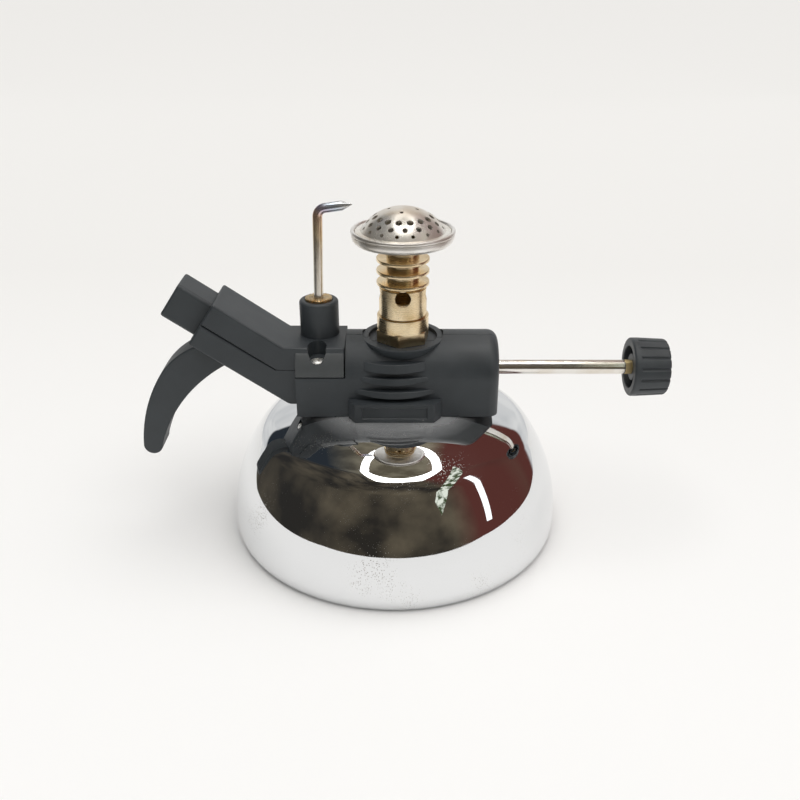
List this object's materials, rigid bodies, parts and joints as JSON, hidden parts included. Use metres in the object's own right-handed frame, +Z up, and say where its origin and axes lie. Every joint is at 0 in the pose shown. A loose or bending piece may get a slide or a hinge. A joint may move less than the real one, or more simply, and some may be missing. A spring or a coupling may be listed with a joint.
{
  "type": "tabletop butane burner",
  "caption": "Small refillable butane burner: chromed dome tank, black valve housing with a sloped piezo handle and finger hook, brass burner with a perforated cap, long valve rod with a knob.",
  "frame": {"origin": "on the tank's axis, at the surface that the foot ring stands on", "axes": "+X along the valve rod to the knob, +Y to the rear, +Z up"},
  "size_m": [0.1251, 0.08, 0.0793],
  "materials": {
    "chrome": "mirror-bright plating",
    "steel_sheet": "satin stainless sheet",
    "rubber": "matte",
    "brass": "turned, bright",
    "wick_fibre": "loose fibre",
    "white_plastic": "as moulded",
    "spring_steel": "drawn wire",
    "nickel": "bright nickel plating",
    "screw_steel": "zinc plated",
    "black_plastic": "fine satin moulding",
    "grey_plastic": "as moulded",
    "lead_jacket": "insulation",
    "copper": "bare copper"
  },
  "bodies": {
    "stove": {"tank_shell": "chrome", "tank_base": "steel_sheet", "burner_cap": "steel_sheet", "burner_pan": "steel_sheet", "foot_ring": "rubber", "refill_seal": "rubber", "rod_seal": "rubber", "tank_neck": "brass", "wick_tube": "brass", "refill_body": "brass", "valve_body": "brass", "gland_nut": "brass", "gas_jet": "brass", "burner_base": "brass", "mixing_tube": "brass", "electrode_ferrule": "brass", "gas_wick": "wick_fibre", "refill_spring": "spring_steel", "piezo_spring": "spring_steel", "electrode_rod": "nickel", "housing_screws": "screw_steel", "block_screw": "screw_steel", "handle_screw": "screw_steel", "housing_front": "black_plastic", "housing_rear": "black_plastic", "handle_top": "black_plastic", "handle_bottom": "black_plastic", "finger_hook": "black_plastic", "electrode_collar": "black_plastic", "piezo_body": "grey_plastic", "ignition_lead": "lead_jacket", "earth_wire": "copper"},
    "button": {"ignition_button": "black_plastic", "piezo_plunger": "white_plastic"},
    "stem": {"control_rod": "nickel", "control_knob": "black_plastic"},
    "needle": {"valve_needle": "brass"},
    "refill": {"refill_stem": "white_plastic"}
  },
  "joints": [
    {"name": "button_press", "type": "slide", "parent": "stove", "child": "button", "axis": [0.8241, 0, -0.5664], "range_m": [0, 0.0045], "stiffness_N_per_m": 2500, "springref_m": -0.002, "deforming": ["piezo_spring"]},
    {"name": "knob_turn", "type": "hinge", "parent": "stove", "child": "stem", "pos_m": [0, 0, 0.0409], "axis": [1, 0, 0], "range_deg": [0, 450]},
    {"name": "needle_travel", "type": "slide", "parent": "stem", "child": "needle", "axis": [1, 0, 0], "range_m": [0, 0.0009]},
    {"name": "refill_press", "type": "slide", "parent": "stove", "child": "refill", "axis": [0, 0, 1], "range_m": [0, 0.0012], "stiffness_N_per_m": 3000, "springref_m": -0.001, "deforming": ["refill_spring"]}
  ],
  "couplings": [
    {"joint": "needle_travel", "follows": "knob_turn", "m_per_rad": 0.00011141}
  ]
}
